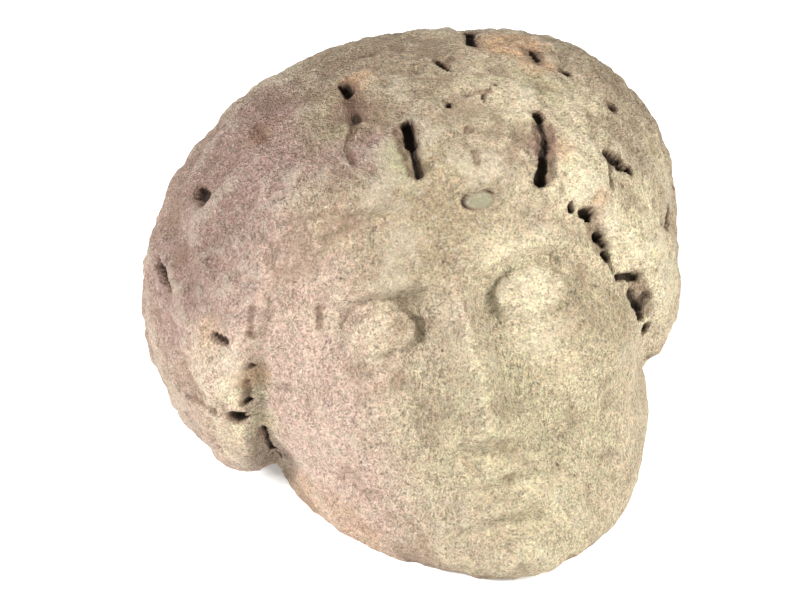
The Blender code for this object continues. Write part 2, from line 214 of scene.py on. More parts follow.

# Stains, with patches of painted shade and painted light among them: which, where (bearing, height),
# radius in degrees and strength.
STAIN_SHADE_AND_LIGHT_PATCHES = (
    ("crust", -8, 62, 32, 0.75),
    ("crust", 12, 42, 16, 0.4),
    ("crust", 56, 17, 9, 0.7),
    ("crust", -50, 55, 30, 0.6),
    ("crust", 120, 45, 60, 0.7),
    ("crust", -120, 40, 60, 0.5),
    ("crust", 180, 50, 60, 0.8),
    ("crust", 12, 33, 8, 0.35),
    ("crust", -4, 21, 15, 0.9),
    ("crust", 17, 18, 9, 0.8),
    ("crust", -13, 31, 8, 0.8),
    ("mauve", -52, 41, 24, 0.8),
    ("mauve", -30, 30, 16, 0.55),
    ("mauve", -62, 20, 24, 0.9),
    ("mauve", -95, 20, 40, 0.6),
    ("mauve", -20, 35, 8, 0.7),
    ("mauve", -13.5, 49, 5, 0.9),
    ("mauve", -40, 22, 14, 0.45),
    ("mauve", 30, 27, 4, 0.7),
    ("mauve", -74, -12, 16, 0.6),
    ("mauve", -7, -39, 7, 0.5),
    ("mauve", 44, -6, 3.5, 0.6),
    ("mauve", -12, 37, 6, 0.7),
    # Painted shade over the left side of the hair.
    ("left_side_painted_shade", -48, 19, 12, 0.8),
    ("left_side_painted_shade", -62, 30, 16, 0.4),
    ("left_side_painted_shade", -66, 52, 16, 0.5),
    ("pink", -54, 3, 9, 0.8),
    ("pink", -33, 11, 18, 0.6),
    ("pink", -40, -9, 20, 0.9),
    ("pink", -45, -30, 24, 0.9),
    ("grey", 4, 23, 12, 0.85),
    ("grey", 31, 9, 9, 0.5),
    ("grey", 30, -22, 12, 0.5),
    ("grey", 31, -9, 13, 1.0),
    ("grey", 39, -5, 5, 0.7),
    ("grey", -8, 16, 13, 0.6),
    ("grey", -20, 26, 9, 0.5),
    ("cream", 34, 19, 8, 0.9),
    ("cream", 46, 6, 12, 0.95),
    ("cream", 52, -8, 9, 0.8),
    ("cream", 40, 20, 7, 0.7),
    ("cream", 64, 19, 8, 0.6),
    ("cream", -54, 2, 8, 0.35),
    ("cream", -60, -14, 8, 0.35),
    ("cream", 28, 43, 10, 0.5),
    ("cream", 42, 32, 10, 0.45),
    ("cream", 22, 22, 5, 0.4),
    # Painted light: these two cream patches lighten the shaded crease at the left hairline.
    ("cream", -51, -4, 4, 0.8),
    ("cream", -54, -12, 4, 0.8),
    ("cream", 12, -30, 26, 0.6),
    ("cream", 16, 3, 13, 0.7),
    ("green", -3.5, 33, 4.5, 0.8),
    ("green", 42, 42, 6, 0.3),
    ("green", -18, 49, 9, 0.3),
    ("green", 0, -30, 24, 0.25),
    ("rust", 57, 54, 8, 0.9),
    ("rust", 49, 46, 4, 0.7),
    ("rust", -12, 57, 4, 0.8),
    ("rust", 36.5, 14.8, 2.2, 1.0),
    ("rust", 33, 26, 3, 0.6),
    ("rust", -48, -2, 2.5, 0.7),
    ("rust", -52, 8, 3, 0.4),
    ("rust", -44, 48, 2.5, 0.5),
    ("rust", -62, -38, 9, 0.5),
    ("rust", -46, -42, 9, 0.45),
)

# Wear, in millimetres where nothing else is said.
LIP_HEIGHT = 0.9
SWELLS = ((17.0, 1.20), (7.5, 0.80), (3.6, 0.62), (1.9, 0.42))  # size and height of each
FLAKE_SIZE = 9.0
FLAKE_DEPTH = 1.3
FACE_SMOOTHER = 0.42  # how much less worn the face is than the hair
PIT_SIZE = 4.2
PIT_DEPTH = 0.55
SCAR_DEPTH = 0.8
RIM_ROUGH = 1.9
RIM_REACH = 20.0  # in parts above the break
UNDERSIDE_ROUGH = 1.6

# The view: the photograph's frame is 800 x 600 and shows 0.37 mm a pixel at the stone.
PHOTO_WIDTH = 800
PIXEL = 0.37e-3
LENS = 85.0
SENSOR = 36.0
VIEW_HEIGHT = 28.0  # degrees
VIEW_ASIDE = -0.0111  # how far the view's middle lies to the right of the skull's, in metres

# The studio. Each soft light: its name, place, width, power in watts and colour.
LIGHTS = (
    ("left_light", (-0.85, -0.52, 0.62), 0.25, 24.0, (1.0, 0.98, 1.0)),
    ("right_light", (0.95, -0.35, 0.45), 0.40, 19.0, (1.0, 0.98, 0.94)),
)
SKY_STRENGTH = 0.47
FLOOR_HALF = 3.0
FLOOR_COLOUR = (0.9, 0.9, 0.9, 1.0)
FLOOR_GLOW = 0.32

# How large the features in the stone's colour and fine relief are, in metres.
PATCH_SIZE = 0.016
SPOT_SIZE = 0.0065
MOTTLE_SIZE = 0.0045
TINT_SIZE = 0.0032
SUGAR_SIZE = 0.0024
GRAIN_SIZE = 0.0015
CRYSTAL_SIZE = 0.0008
FINE_SIZE = 0.0007
RELIEF_HEIGHT = 0.0066


def smooth_step(low, high, value):
    """0 below low, 1 above high, and 3t^2 - 2t^3 between them. low may be the larger of the two."""
    share = np.clip((value - low) / (high - low), 0, 1)
    return share * share * (3 - 2 * share)


def bump(offset, spread):
    """A bell of height 1: e to the minus square of offset over spread."""
    return np.exp(-((offset / spread) ** 2))


def mound(x, z, place, spread):
    """A bell of height 1 over the front view: the product of a bell along x and one along z."""
    return bump(x - place[0], spread[0]) * bump(z - place[1], spread[1])


def smooth_curve(at, places, values):
    """A cubic through the given values, whose slope at each is that between its neighbours."""
    places = np.asarray(places, float)
    values = np.asarray(values, float)
    slopes = np.gradient(values, places)
    left = np.clip(np.searchsorted(places, at) - 1, 0, len(places) - 2)
    span = places[left + 1] - places[left]
    t = np.clip((at - places[left]) / span, 0, 1)
    rise = t * t * (3 - 2 * t)
    start = t * (1 - t) ** 2 * span * slopes[left]
    end = t * t * (t - 1) * span * slopes[left + 1]
    return values[left] * (1 - rise) + values[left + 1] * rise + start + end


def joined(a, b, softness):
    """The smaller of two distances, less a parabola where they differ by under the softness."""
    share = np.clip(0.5 + 0.5 * (b - a) / softness, 0, 1)
    return b + (a - b) * share - softness * share * (1 - share)


def shared(a, b, softness):
    """The larger of two distances, with the edge between them rounded in the same way."""
    return -joined(-a, -b, softness)


def ellipsoid(x, y, z, centre, reach):
    """Distance to an ellipsoid: s(s - 1) over the length of s's slope, with s the scaled radius."""
    u = (x - centre[0]) / reach[0], (y - centre[1]) / reach[1], (z - centre[2]) / reach[2]
    size = np.sqrt(u[0] ** 2 + u[1] ** 2 + u[2] ** 2)
    slope = np.sqrt((u[0] / reach[0]) ** 2 + (u[1] / reach[1]) ** 2 + (u[2] / reach[2]) ** 2)
    return size * (size - 1) / slope


def unevenness(x, y, z):
    """Slow swells of the boulder: two products of sine waves."""
    return (
        np.sin(x / 23 + 1.3) * np.sin(y / 29 + 0.4) * np.sin(z / 26 + 2.1)
        + 0.5 * np.sin(x / 12 + z / 31 + 0.7) * np.sin(z / 13 - y / 17 + 1.9)
    )


def from_opening(x, z):
    """How far outside the hairline's circle a place lies in the front view; under 0 is on the face."""
    return np.hypot(x - OPENING_MIDDLE[0], z - OPENING_MIDDLE[1]) - OPENING_RADIUS


def groove_pattern(x, z):
    """A bell across each of a fan of lines, one every LOCK_ANGLE, fading and wandering by sines."""
    angle = np.degrees(np.arctan2(x, z - LOCK_CENTRE)) + 2.0 * np.sin(z / 21 + x / 40)
    across = np.abs((angle / LOCK_ANGLE + 0.5) % 1 - 0.5) * LOCK_ANGLE
    kept = 0.55 + 0.45 * np.sin(angle / 9 + 0.6) * np.sin(z / 19 + angle / 23)
    return bump(across, 2.6) * kept


def side_locks(x, z):
    """The sum of a bell for the rounded end of each side lock, half as high on the right."""
    locks = np.zeros_like(x)
    for height in SIDE_LOCK_HEIGHTS:
        locks += mound(x, z, (-SIDE_LOCK_OUT, height), (8, 6.5))
        locks += 0.5 * mound(x, z, (SIDE_LOCK_OUT - 3, height), (6, 6.5))
    return locks


def hair(x, y, z):
    """Three ellipsoids softly joined, raised beside the face, cut by the fan of grooves."""
    mass = ellipsoid(x, y, z, (-3, 3, 13), (101, 101, 91))
    mass = joined(mass, ellipsoid(x, y, z, (-48, 4, 10), (59, 78, 66)), 14)
    mass = joined(mass, ellipsoid(x, y, z, (44, 4, 35), (59, 78, 56)), 14)
    front = smooth_step(15, -35, y)
    beside = smooth_step(30, 62, np.abs(x))
    mass -= ROLL_HEIGHT * bump(from_opening(x, z) - 14, 12) * front * (0.4 + 0.6 * beside)
    mass += GROOVE_DEPTH * (0.35 + 0.65 * front) * groove_pattern(x, z) * smooth_step(-10, 20, z)
    mass -= SIDE_LOCK_HEIGHT * side_locks(x, z) * smooth_step(5, -15, y)
    return shared(mass, HAIR_END - z, 8)


def eye_relief(side, z):
    """One eye: a wide bell hollow, a flat-topped ball, and a bell along each lid's parabola."""
    off = side - EYE_APART
    relief = -5.2 * mound(side, z, (EYE_APART, 3), (21, 11)) - 4.2 * mound(side, z, (11, 1), (7, 9))
    relief += 4.9 * np.exp(-(((off / 13) ** 2 + ((z - 0.5) / 7.4) ** 2) ** 1.6))
    along = np.clip(1 - (off / EYE_HALF) ** 2, 0, 1)
    on_eye = smooth_step(0, 0.35, along)
    relief += 1.8 * bump(z - 1 - 6.2 * along, 2.3) * on_eye
    relief -= 1.3 * bump(z - 5.6 - 7.0 * along, 2.3) * on_eye
    return relief + 1.3 * bump(z + 5.0 * along, 2.2) * on_eye


def nose_relief(side, z):
    """A bell across, whose height and width are curves of z, held under what wear has left."""
    height = smooth_curve(z, (-58, -49, -44, -37, -24, -8, 6, 18), (0, 1.5, 8, 15, 14, 10, 4.5, 0))
    width = smooth_curve(z, (-50, -38, -22, -6, 10), (11.5, 11.5, 9.0, 7.2, 8.5))
    ridge = joined(height, NOSE_LEFT, 5) * bump(side, width)
    return ridge + 3.6 * mound(side, z, (11, NOSE_BASE + 4), (4.8, 5.4))


def mouth_relief(side, z):
    """Closed worn lips: bells for the mouth's swell, both lips, the corners and the hollow below."""
    relief = 2.8 * bump(side, 25) * bump(z - MOUTH, 14)
    parting = MOUTH - 0.8 * bump(side, 6) + 0.8 * bump(side - 13, 6)
    relief -= 2.2 * bump(z - parting, 3.6) * smooth_step(24, 12, side)
    relief += 1.7 * bump(z - MOUTH - 6.0 + 0.08 * side, 4.4) * bump(side, 14)
    relief += 2.1 * bump(z - MOUTH + 6.6, 5.0) * bump(side, 12.5)
    relief -= 1.8 * mound(side, z, (21, MOUTH), (5, 5))
    relief -= 1.0 * mound(side, z, (0, MOUTH + 13), (3.2, 5))
    return relief - 3.4 * mound(side, z, (0, MOUTH - 14), (16, 4.8))


def face_relief(x, z):
    """How far the carving of the face stands out: bells for brow, chin and cheeks, plus each feature."""
    side = np.abs(x)
    brow_line = BROW + 3.0 * (1 - ((side - 27) / 27) ** 2)
    relief = 3.4 * bump(z - brow_line, 5.0) * smooth_step(0, 12, side) * smooth_step(58, 34, side)
    relief += 2.0 * mound(side, z, (0, BROW - 2), (10, 9))
    relief += eye_relief(side, z) + nose_relief(side, z) + mouth_relief(side, z)
    relief += 5.5 * mound(side, z, (0, CHIN + 13), (16, 11))
    relief += 3.0 * mound(side, z, (38, -26), (16, 15))
    relief -= 1.5 * bump(side - 17 - 0.5 * (NOSE_BASE - z), 5) * bump(z - MOUTH - 10, 11)
    relief -= 1.8 * mound(side, z, (34, MOUTH - 2), (10, 14))
    return relief


def face_oval(z):
    """Half the face's width at each height, by a superellipse from the cheekbones to the chin."""
    share = np.clip((z - CHEEKBONE) / (CHIN - 7 - CHEEKBONE), 0, 1)
    return FACE_HALF * (1 - share**OVAL_POWER) ** (1 / OVAL_POWER)


def neck(x, y, z):
    """An upright oval column under the skull."""
    column = (np.hypot((x + 7) / NECK_HALF, (y - 8) / 68) - 1) * NECK_HALF
    return shared(column, z, 20)


def face_block(x, y, z):
    """Level sections that are superellipses, with the face in relief, softly joined to the neck."""
    levels = (-103, -95, -85, -70, -40, -20, 0, 30, 60, 90)
    skull = smooth_curve(z, (-70, -55, -40, -20, 0, 30, 60, 90), (30, 50, 71, 87, 96, 94, 75, 42))
    half_width = np.maximum(-joined(-face_oval(z), -skull, 8), 12)
    half_depth = smooth_curve(z, levels, (60, 75, 82, 85, 86.5, 87, 88, 88, 80, 50))
    across = (np.abs(x) / half_width) ** BLOCK_POWER
    share = (across + (np.abs(y) / half_depth) ** BLOCK_POWER) ** (1 / BLOCK_POWER)
    block = (share - 1) * np.minimum(half_width, half_depth)
    block = shared(shared(block, CHIN - 7 - z, 12), z - 84, 12)
    block -= face_relief(x, z) * smooth_step(-22, -44, y)
    return joined(block, neck(x, y, z), 16)


def hair_share(x, y, z):
    """1 where the hair covers the stone and 0 on the face and neck: a step across the hairline."""
    on_hair = np.maximum(smooth_step(-7, 8, from_opening(x, z)), smooth_step(-16, 0, y))
    return on_hair * smooth_step(HAIR_END - 9, HAIR_END - 1, z)


def stone(x, y, z):
    """Distance to the whole stone: the block, or the block joined with the hair, by the hair's share,
    less the boulder's swells, above a plane a little past the break."""
    face = face_block(x, y, z)
    covered = joined(face, hair(x, y, z), 3)
    whole = face + (covered - face) * hair_share(x, y, z)
    crease = bump(from_opening(x, z) - 1, 6) * smooth_step(28, 62, np.abs(x)) * smooth_step(0, -30, y)
    whole += HAIRLINE_DEPTH * crease * smooth_step(HAIR_END - 4, HAIR_END + 8, z)
    whole -= 0.9 * unevenness(x, y, z)
    normal = resting_turn().transposed() @ Vector((0, 0, 1))
    above_break = x * normal.x + y * normal.y + z * normal.z + BREAK_DROP
    return shared(whole, -BREAK_SPARE - above_break, 2 * BREAK_SPARE + BREAK_ROUNDING)


def resting_turn():
    """Turns the upright frame into the pose in which the stone lies on its break."""
    tip = Matrix.Rotation(math.radians(-TIP_BACK), 3, "X")
    lean = Matrix.Rotation(math.radians(-LEAN), 3, "Y")
    turn = Matrix.Rotation(math.radians(TURN), 3, "Z")
    return tip @ lean @ turn


def set_down(points):
    """Points of the upright frame, in parts, as places in metres with the break on z = 0."""
    turned = points @ np.array(resting_turn()).T
    offset = np.array((-BREAK_MIDDLE[0], -BREAK_MIDDLE[1], BREAK_DROP))
    return (turned + offset) * PART


def direction_of(bearing, height):
    """The unit direction that has this bearing and height, in degrees."""
    bearing = math.radians(bearing)
    height = math.radians(height)
    level = math.cos(height)
    return math.sin(bearing) * level, -math.cos(bearing) * level, math.sin(height)


def crowded_forward(directions, pull):
    """Unit directions slid towards the face by the map of the sphere that keeps angles: the part
    ahead grows by the pull, the part across shrinks, and both are divided by 1 + pull times ahead."""
    towards = np.array(direction_of(0, CROWD_HEIGHT))
    ahead = directions @ towards
    across = directions - ahead[:, None] * towards
    moved = across * math.sqrt(1 - pull * pull) + (ahead + pull)[:, None] * towards
    return moved / (1 + pull * ahead)[:, None]


def cast_to_surface(directions):
    """How far rays from the skull's middle go to leave the stone, stepping in by 0.6 of the distance."""
    reach = np.full(len(directions), RAY_START)
    for _ in range(CAST_STEPS):
        reach -= np.clip(0.6 * stone(*(directions * reach[:, None]).T), -4, 6)
    return reach


def wrapped_grid(cells):
    """Directions and squares of a cube's six faces, each a grid of cells by cells whose lines are even
    in angle, because each place on a face is the tangent of an eighth turn times its share."""
    line = np.tan(np.linspace(-1, 1, cells + 1) * math.pi / 4)
    u, v = (part.ravel() for part in np.meshgrid(line, line, indexing="ij"))
    one = np.ones_like(u)
    corner = np.arange((cells + 1) ** 2).reshape(cells + 1, cells + 1)
    square = np.stack((corner[:-1, :-1], corner[1:, :-1], corner[1:, 1:], corner[:-1, 1:]), -1)
    places, squares = [], []
    for axis in range(3):
        for side in (-1, 1):
            face = np.roll(np.stack((one * side, u, v * side), -1), axis, axis=1)
            squares.append(square.reshape(-1, 4) + len(places) * len(u))
            places.append(face)
    places = np.concatenate(places)
    kept, number = np.unique(np.round(places, 9), axis=0, return_inverse=True)
    directions = kept / np.linalg.norm(kept, axis=1, keepdims=True)
    return directions, number.ravel()[np.concatenate(squares)]


def lattice_value(cell, seed):
    """A number from -1 to 1 for each lattice cell, by mixing its three whole numbers and the seed."""
    mixed = cell[:, 0] * 374761393 + cell[:, 1] * 668265263 + cell[:, 2] * 362437 + seed * 974711
    mixed = (mixed ^ (mixed >> 13)) * 1274126177 & 0xFFFFFFFF
    return (mixed ^ (mixed >> 16)) / 0x7FFFFFFF - 1


def noise(points, size, seed):
    """Lattice values blended between the eight corners of each cell by t^2(3 - 2t) on each axis."""
    spot = points / size + seed * 17.37
    cell = np.floor(spot).astype(np.int64)
    share = spot - cell
    share = share * share * (3 - 2 * share)
    total = np.zeros(len(points))
    for corner in np.ndindex(2, 2, 2):
        weight = np.prod(np.where(corner, share, 1 - share), axis=1)
        total += weight * lattice_value(cell + np.array(corner), seed)
    return total


def layered_noise(points, size, seed, layers=3):
    """Noise plus half as much at half the size, and so on, brought back to about -1 to 1."""
    total = sum(noise(points, size / 2**n, seed + n) / 2**n for n in range(layers))
    return total / (2 - 0.5 ** (layers - 1))


def slopes_at(points):
    """How the distance to the form changes along each axis, over SLOPE_STEP to either side."""
    slopes = np.zeros_like(points)
    for axis in range(3):
        offset = np.zeros(3)
        offset[axis] = SLOPE_STEP
        change = stone(*(points + offset).T) - stone(*(points - offset).T)
        slopes[:, axis] = change / (2 * SLOPE_STEP)
    return slopes


def on_stone(places):
    """The places on the carved form that have these bearings and heights."""
    directions = np.array([direction_of(*place) for place in places])
    return directions * cast_to_surface(directions)[:, None]


def from_mark(points, start, end, drill):
    """Distance from each point to the line between a mark's two ends, seen along the drill."""
    along = end - start
    share = np.clip((points - start) @ along / max(along @ along, 1e-9), 0, 1)
    away = points - start - share[:, None] * along
    return np.linalg.norm(away - (away @ drill)[:, None] * drill, axis=1)


def drilled(points):
    """How the drill marks move each point, in parts, and 0 to 1 for how deep in a mark it lies. The
    drill is held DRILL_ASLANT of the way round from straight ahead. Its depth is full within 0.6 of the
    half-width and falls to 0 at the edge, and the edge wavers."""
    ends = on_stone([end for mark in DRILL_MARKS for end in mark[:2]]).reshape(-1, 2, 3)
    waver = 1 + 0.34 * noise(points, 3.4, 11) + 0.20 * noise(points, 1.7, 12)
    moved = np.zeros_like(points)
    depth = np.zeros(len(points))
    hollow = np.zeros(len(points))
    for (start, end), (first, last, half_width, deep) in zip(ends, DRILL_MARKS):
        drill = np.array(direction_of(*(DRILL_ASLANT * (a + b) / 2 for a, b in zip(first, last))))
        off = from_mark(points, start, end, drill) / (half_width * MILLIMETRE * waver)
        near = points @ drill > 0
        cut = smooth_step(1.05, 0.6, off) * deep * MILLIMETRE * near
        deeper = cut > depth
        moved[deeper] = -drill * cut[deeper, None]
        depth = np.maximum(depth, cut)
        # The depth and the rim set the grime and painted shade in and round the mark.
        rim = 0.14 * smooth_step(1.8, 1.0, off) * near
        hollow = np.maximum(hollow, np.minimum(cut / (DARK_DEPTH * MILLIMETRE), 1) + rim)
    return moved * (1 + 0.10 * noise(points, 2.2, 13))[:, None], np.clip(hollow, 0, 1)


def raised(points, outward):
    """Height of the ridges, in parts: a bell across each line, wavering with noise."""
    ends = on_stone([end for ridge in RIDGES for end in ridge[:2]]).reshape(-1, 2, 3)
    waver = 1 + 0.25 * noise(points, 9.0, 15)
    height = np.zeros(len(points))
    for (start, end), (_, _, half_width, high) in zip(ends, RIDGES):
        middle = (start + end) / 2
        off = from_mark(points, start, end, middle / np.linalg.norm(middle)) / (half_width * waver)
        height += bump(off, 1) * high * MILLIMETRE * (outward @ middle > 0)
    return height


def stain_shade_and_light_shares(directions, points):
    """A value from 0 to 1 for each kind in the table, staining and painted shade: the most of its patches,
    with ragged edges.
    """
    ragged = 0.42 * layered_noise(points, 16, 61, 4)
    values = {kind: np.zeros(len(points)) for kind, *_ in STAIN_SHADE_AND_LIGHT_PATCHES}
    for kind, bearing, height, radius, strength in STAIN_SHADE_AND_LIGHT_PATCHES:
        angle = np.degrees(np.arccos(np.clip(directions @ np.array(direction_of(bearing, height)), -1, 1)))
        patch = strength * smooth_step(1.35, 0.45, angle / radius + ragged)
        values[kind] = np.maximum(values[kind], patch)
    return values


def pebble_share(points):
    """Distance from the pebble's middle in its own oval: 1 is its edge."""
    direction = np.array(direction_of(*PEBBLE_AT))
    middle = direction * cast_to_surface(direction[None])
    aside = np.cross((0, 0, 1), direction)
    aside /= -np.linalg.norm(aside)
    upward = np.cross(aside, direction)
    upward /= np.linalg.norm(upward) * np.sign(upward[2])
    tilt = math.radians(-PEBBLE_TILT)
    across, rise = (points - middle) @ aside, (points - middle) @ upward
    long = across * math.cos(tilt) + rise * math.sin(tilt)
    short = rise * math.cos(tilt) - across * math.sin(tilt)
    return np.hypot(long / PEBBLE_HALF[0], short / PEBBLE_HALF[1])


def weathering(points):
    """How far wear moves the surface, in parts: swells of noise at each size, hollows between sharp
    edges where noise changes sign, pits where slow noise is high, flat scars, and rougher stone near
    the break's rim."""
    change = np.zeros(len(points))
    on_hair = hair_share(*points.T)
    for number, (size, height) in enumerate(SWELLS):
        layer = noise(points, size * MILLIMETRE, 21 + number)
        change += layer * height * MILLIMETRE
    flaked = np.abs(layered_noise(points, FLAKE_SIZE * MILLIMETRE, 27, 2))
    change += FLAKE_DEPTH * MILLIMETRE * (0.25 - flaked)
    change *= 1 - FACE_SMOOTHER * (1 - on_hair)
    pitted = smooth_step(0.35, 0.85, noise(points, PIT_SIZE * MILLIMETRE, 31))
    change -= PIT_DEPTH * MILLIMETRE * pitted * smooth_step(-0.3, 0.4, noise(points, 40, 32))
    scarred = smooth_step(0.22, 0.50, layered_noise(points, 34, 33, 4))
    change -= SCAR_DEPTH * MILLIMETRE * scarred * on_hair
    broken = layered_noise(points, 14, 41, 4)
    rim = smooth_step(RIM_REACH, 0, set_down(points)[:, 2] / PART)
    change += RIM_ROUGH * MILLIMETRE * rim * (broken - 0.35)
    return change


def lip(points):
    """Height of the hair's front edge, in parts: a step up across the hairline's circle and a slower
    one down outside it, times steps that end it towards the left and the back."""
    x, y, z = points.T
    out = from_opening(x, z)
    edge = smooth_step(-3, 2.5, out) * smooth_step(26, 3, out) * smooth_step(-75, -35, x)
    return LIP_HEIGHT * MILLIMETRE * edge * smooth_step(-5, -35, y)


def relaxed(points, squares):
    """The points evened out over the form: each is drawn halfway to the mean of its neighbours, then
    put back on the form by its distance over the slope, RELAX_STEPS times."""
    edges = np.concatenate([squares[:, [side, (side + 1) % 4]] for side in range(4)])
    count = np.bincount(edges[:, 0], minlength=len(points))
    for _ in range(RELAX_STEPS):
        ends = points[edges[:, 1]].T
        mean = np.stack([np.bincount(edges[:, 0], end, len(points)) / count for end in ends], -1)
        points = (points + mean) / 2
        slopes = slopes_at(points)
        points -= slopes * (stone(*points.T) / np.sum(slopes**2, axis=1))[:, None]
    return points


def stone_surface():
    """The finished stone's places in metres, its squares, and the values that colour it."""
    directions, squares = wrapped_grid(GRID_CELLS)
    directions = crowded_forward(directions, PULL_FORWARD)
    points = relaxed(directions * cast_to_surface(directions)[:, None], squares)
    directions = points / np.linalg.norm(points, axis=1, keepdims=True)
    outward = slopes_at(points)
    outward /= np.linalg.norm(outward, axis=1, keepdims=True)
    oval = pebble_share(points)
    smooth = smooth_step(1.15, 0.85, oval)
    worn = weathering(points) * (1 - 0.8 * smooth)
    change = worn + lip(points) + raised(points, outward)
    change += PEBBLE_HEIGHT * MILLIMETRE * smooth - PEBBLE_GAP * MILLIMETRE * bump(oval - 1.12, 0.2)
    hole, hollow = drilled(points)
    places = set_down(points + outward * change[:, None] + hole)
    rough = UNDERSIDE_ROUGH * MM * smooth_step(0.0, 0.9, layered_noise(points, 16, 51, 3))
    places[:, 2] = np.maximum(places[:, 2], rough)
    # Painted shade in the gap round the pebble, broken by noise, laid in with the drill marks' grime and
    # painted shade.
    painted_gap_shade = GAP_DARK * bump(oval - 1.1, 0.15) * smooth_step(-0.5, 0.2, noise(points, 6.0, 71))
    values = {
        "hollow": np.clip(hollow + painted_gap_shade, 0, 1),
        "pebble": smooth_step(1.08, 0.9, oval),
        # The wear's height, which sets painted shade in low places and painted highlight on high ones.
        "worn": np.clip(0.5 + worn / MILLIMETRE * 0.4, 0, 1),
        **stain_shade_and_light_shares(directions, points),
    }
    return places, squares, values


def make_mesh(name, places, squares, values):
    """A mesh of these places and squares, facing out, with each set of values as an attribute."""
    mesh = bpy.data.meshes.new(name)
    mesh.from_pydata(places.tolist(), [], squares.tolist())
    for attribute, numbers in values.items():
        layer = mesh.attributes.new(attribute, "FLOAT", "POINT")
        layer.data.foreach_set("value", numbers.astype(np.float32))
    mesh.shade_smooth()
    mesh.update()
    return mesh


class Socket:
    """A shader value or colour; arithmetic on it adds the nodes that work it out."""

    def __init__(self, paint, socket):
        self.paint = paint
        self.socket = socket

    def _math(self, operation, *inputs):
        return self.paint.node("ShaderNodeMath", {"operation": operation}, *inputs)

    def __add__(self, other):
        return self._math("ADD", self, other)

    def __sub__(self, other):
        return self._math("SUBTRACT", self, other)

    def __rsub__(self, other):
        return self._math("SUBTRACT", other, self)

    def __mul__(self, other):
        return self._math("MULTIPLY", self, other)

    __radd__ = __add__
    __rmul__ = __mul__

    def step(self, low, high):
        """0 at low, 1 at high, smooth between them."""
        settings = {"interpolation_type": "SMOOTHSTEP"}
        return self.paint.node("ShaderNodeMapRange", settings, self, low, high, 0.0, 1.0)

    def clamped(self):
        """The value, held between 0 and 1."""
        return self.step_straight(0.0, 1.0)

    def step_straight(self, low, high):
        """0 at low and 1 at high, in a straight line between them, and no further."""
        return self.paint.node("ShaderNodeMapRange", {}, self, low, high, 0.0, 1.0)


class Paint:
    """One material and the means to add nodes to it."""

    def __init__(self, name):
        self.material = bpy.data.materials.new(name)
        self.material.use_nodes = True
        self.tree = self.material.node_tree
        self.shader = self.tree.nodes["Principled BSDF"]

    def fill(self, target, value):
        if isinstance(value, Socket):
            self.tree.links.new(value.socket, target)
        else:
            target.default_value = value

    def node(self, kind, settings, *values, output=0, **named):
        """Adds a node: its settings first, then its inputs, in order or by name."""
        made = self.tree.nodes.new(kind)
        for name, value in settings.items():
            setattr(made, name, value)
        for target, value in zip(made.inputs, values):
            self.fill(target, value)
        for name, value in named.items():
            self.fill(made.inputs[name.replace("_", " ")], value)
        return Socket(self, made.outputs[output])

    def attribute(self, name):
        return self.node("ShaderNodeAttribute", {"attribute_name": name}, output=2)

    def noise(self, where, size, detail, roughness):
        """Noise whose features are about this many metres across."""
        kind = "ShaderNodeTexNoise"
        return self.node(kind, {}, Vector=where, Scale=1 / size, Detail=detail, Roughness=roughness)

    def from_cell(self, where, size):
        """Distance to the middle of the nearest of a set of cells about this many metres across."""
        return self.node("ShaderNodeTexVoronoi", {}, Vector=where, Scale=1 / size)

    def cell_lot(self, where, size):
        """A number from 0 to 1, drawn for each of those cells."""
        colour = self.node("ShaderNodeTexVoronoi", {}, Vector=where, Scale=1 / size, output=1)
        return self.node("ShaderNodeSeparateColor", {}, colour)

    def mix(self, share, first, second, blend="MIX"):
        """The first colour, with this share of the second blended in."""
        made = self.tree.nodes.new("ShaderNodeMix")
        made.data_type = "RGBA"
        made.blend_type = blend
        self.fill(made.inputs["Factor"], share)
        self.fill(made.inputs[6], first)
        self.fill(made.inputs[7], second)
        return Socket(self, made.outputs[2])

    def layered(self, colour, layers):
        """The colour with each named colour laid over it in turn, by its share."""
        for share, name in layers:
            colour = self.mix(share, colour, COLOURS[name])
        return colour


def shade(red, green, blue):
    """A display colour, 0 to 255, as the linear colour that a shader takes."""
    part = [c / 255 for c in (red, green, blue)]
    linear = [c / 12.92 if c <= 0.04045 else ((c + 0.055) / 1.055) ** 2.4 for c in part]
    return (*linear, 1.0)


STAIN_AND_SHADE_COLOURS = {
    "crust": shade(167, 151, 127),
    "mauve": shade(180, 151, 142),
    "left_side_painted_shade": shade(158, 134, 120),
    "pink": shade(216, 192, 177),
    "grey": shade(186, 172, 142),
    "cream": shade(238, 228, 194),
    "green": shade(163, 161, 118),
    "rust": shade(216, 182, 146),
}

COLOURS = {
    "ground": shade(203, 187, 160),
    "pale_ground": shade(226, 212, 184),
    "warm_mottle": shade(206, 168, 134),
    "dark_mottle": shade(150, 134, 112),
    "pink_tint": shade(255, 236, 230),
    "green_tint": shade(250, 250, 236),
    "crystal": shade(250, 245, 232),
    "speck": shade(96, 80, 62),
    "spot": shade(92, 72, 54),
    "painted_shade_low": shade(140, 114, 92),
    "painted_highlight_high": shade(236, 226, 202),
    "pebble": shade(128, 127, 104),
    "grime_and_painted_shade": shade(140, 108, 88),
    "deep_grime_and_painted_shade": shade(56, 42, 30),
}


